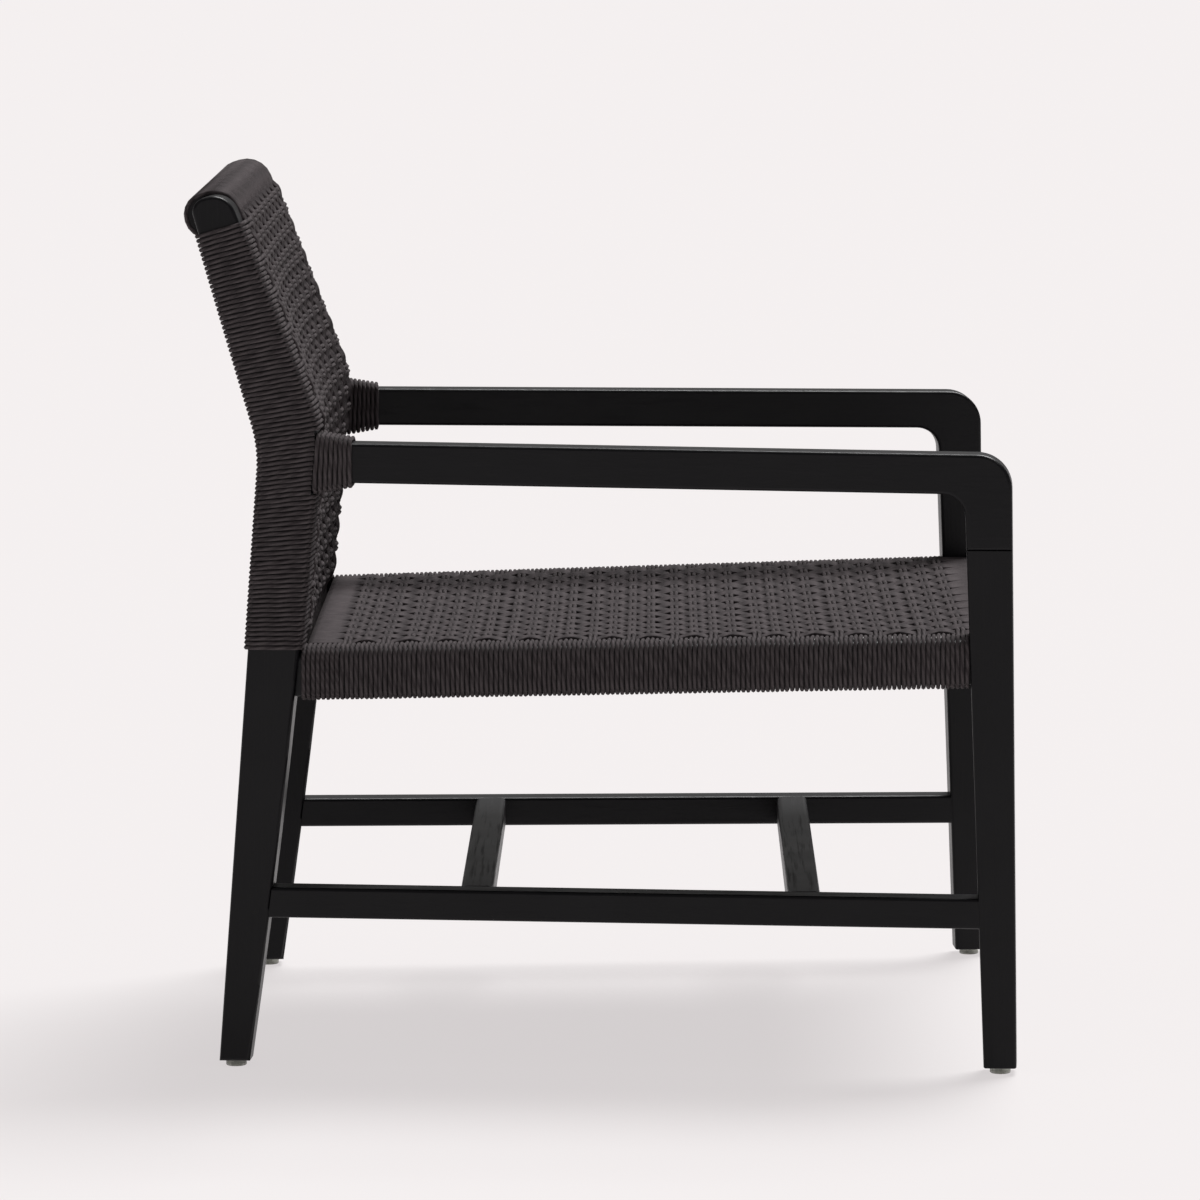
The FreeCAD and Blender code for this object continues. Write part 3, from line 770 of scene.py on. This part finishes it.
cord_piece("back_pairs", back_pairs(), pair_cord, replaces=["back_weave"])
cord_piece("back_lengths_right", back_lengths(0, back_count // 2), dense_cord,
           radius=BACK_CORD_RADIUS, replaces=["crest_wrap"])
cord_piece("back_lengths_left", back_lengths(back_count // 2, back_count), dense_cord,
           radius=BACK_CORD_RADIUS, replaces=["lower_back_rail_wrap"])
cord_piece("seat_pairs", seat_columns(), pair_cord, replaces=["seat_weave"])
cord_piece("seat_lengths_right", seat_lengths(0, seat_count // 2), dense_cord,
           radius=SEAT_CORD_RADIUS, replaces=["front_rail_wrap"])
cord_piece("seat_lengths_left", seat_lengths(seat_count // 2, seat_count), dense_cord,
           radius=SEAT_CORD_RADIUS, replaces=["rear_rail_wrap"])


# ---------------------------------------------------------------- floor, light and camera

FLOOR_SIZE = 160.0
FLOOR_OWN_SHARE = 0.76
FLOOR_COLOUR = (0.800, 0.785, 0.775, 1.0)
FLOOR_SEEN_COLOUR = (0.838, 0.797, 0.802, 1.0)
STUDIO_COLOUR = (1.0, 0.985, 0.975, 1.0)
STUDIO_LEVEL = 0.215
KEY_TOWARD = (0.80, -0.45, 1.60)
KEY_LEVEL = 4.4
KEY_ANGLE = 30

scene = bpy.context.scene
bpy.ops.mesh.primitive_plane_add(size=FLOOR_SIZE, location=(0, 0, 0))
ground = bpy.context.active_object
ground.name = "floor"
floor_finish = Finish("pale floor", Roughness=0.9, Specular_IOR_Level=0.1)
floor_finish.shader.inputs["Base Color"].default_value = FLOOR_COLOUR
# Seen straight on or mirrored, the floor is mostly its own even pale colour, under a faint shadow
seen = floor_finish.node("ShaderNodeLightPath")
light_path = seen.socket.node
straight, glossy, through = (Val(floor_finish.tree, light_path.outputs[name])
                             for name in ("Is Camera Ray", "Is Glossy Ray", "Is Transmission Ray"))
pale = floor_finish.node("ShaderNodeEmission", Color=FLOOR_SEEN_COLOUR, Strength=1.0)
shown = floor_finish.node("ShaderNodeMixShader", i0=(straight + glossy + through).clamped() * FLOOR_OWN_SHARE,
                          i1=Val(floor_finish.tree, floor_finish.shader.outputs[0]), i2=pale)
floor_finish.tree.links.new(shown.socket, floor_finish.tree.nodes["Material Output"].inputs["Surface"])
ground.data.materials.append(floor_finish.material)

world = bpy.data.worlds.new("studio")
scene.world = world
world.use_nodes = True
background = world.node_tree.nodes["Background"]
background.inputs["Color"].default_value = STUDIO_COLOUR
background.inputs["Strength"].default_value = STUDIO_LEVEL


def sun(name, toward, strength, angle):
    """Large soft light from a direction."""
    lamp = bpy.data.lights.new(name, "SUN")
    lamp.energy = strength
    lamp.angle = radians(angle)
    obj = bpy.data.objects.new(name, lamp)
    obj.rotation_euler = Vector(toward).to_track_quat("Z", "Y").to_euler()
    scene.collection.objects.link(obj)


sun("key", KEY_TOWARD, KEY_LEVEL, KEY_ANGLE)

CAMERA_PLACE = Vector((-6.2403, -0.053, 1.180))
CAMERA_YAW = radians(0.5192)
CAMERA_PITCH = radians(7.1547)
CAMERA_ROLL = radians(-0.2487)
CAMERA_LENS = 198.49
CAMERA_SENSOR = 36.0
CAMERA_REACH = 500.0
ahead = Vector((cos(CAMERA_PITCH) * cos(CAMERA_YAW), cos(CAMERA_PITCH) * sin(CAMERA_YAW), -sin(CAMERA_PITCH)))
level = ahead.cross(Vector((0, 0, 1))).normalized()
raised = level.cross(ahead)
right = level * cos(CAMERA_ROLL) + raised * sin(CAMERA_ROLL)
upward = raised * cos(CAMERA_ROLL) - level * sin(CAMERA_ROLL)
lens = bpy.data.cameras.new("camera")
lens.sensor_width = CAMERA_SENSOR
lens.lens = CAMERA_LENS
lens.clip_end = CAMERA_REACH
camera = bpy.data.objects.new("camera", lens)
camera.matrix_world = Matrix((
    (right.x, upward.x, -ahead.x, CAMERA_PLACE.x),
    (right.y, upward.y, -ahead.y, CAMERA_PLACE.y),
    (right.z, upward.z, -ahead.z, CAMERA_PLACE.z),
    (0, 0, 0, 1)))
scene.collection.objects.link(camera)
scene.camera = camera
scene.view_settings.view_transform = "Standard"
